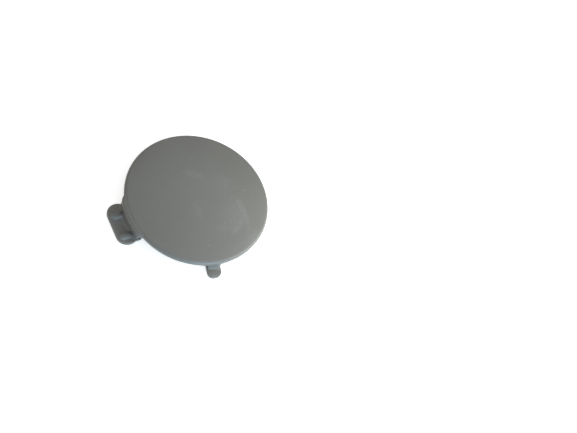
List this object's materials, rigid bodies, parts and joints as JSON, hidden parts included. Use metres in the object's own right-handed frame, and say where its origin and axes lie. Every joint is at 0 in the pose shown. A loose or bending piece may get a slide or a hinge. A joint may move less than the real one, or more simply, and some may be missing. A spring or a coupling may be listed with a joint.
{
  "type": "bumper tow hook cover",
  "caption": "Round domed plastic cover that closes the tow eye opening in a car bumper, with a ribbed wide tab, a narrow clip and a locating wall behind the flange.",
  "frame": {"origin": "centre of the flange's flat seating ring, which lies on the outside of the bumper", "axes": "+Z out through the domed face, +X towards the wide tab"},
  "size_m": [0.0728, 0.0697, 0.0088],
  "materials": {
    "primed_plastic": "grey primer, satin, smooth on the face with a faint soft smear"
  },
  "bodies": {
    "root": {"tow_hook_cover": "primed_plastic"}
  },
  "joints": []
}
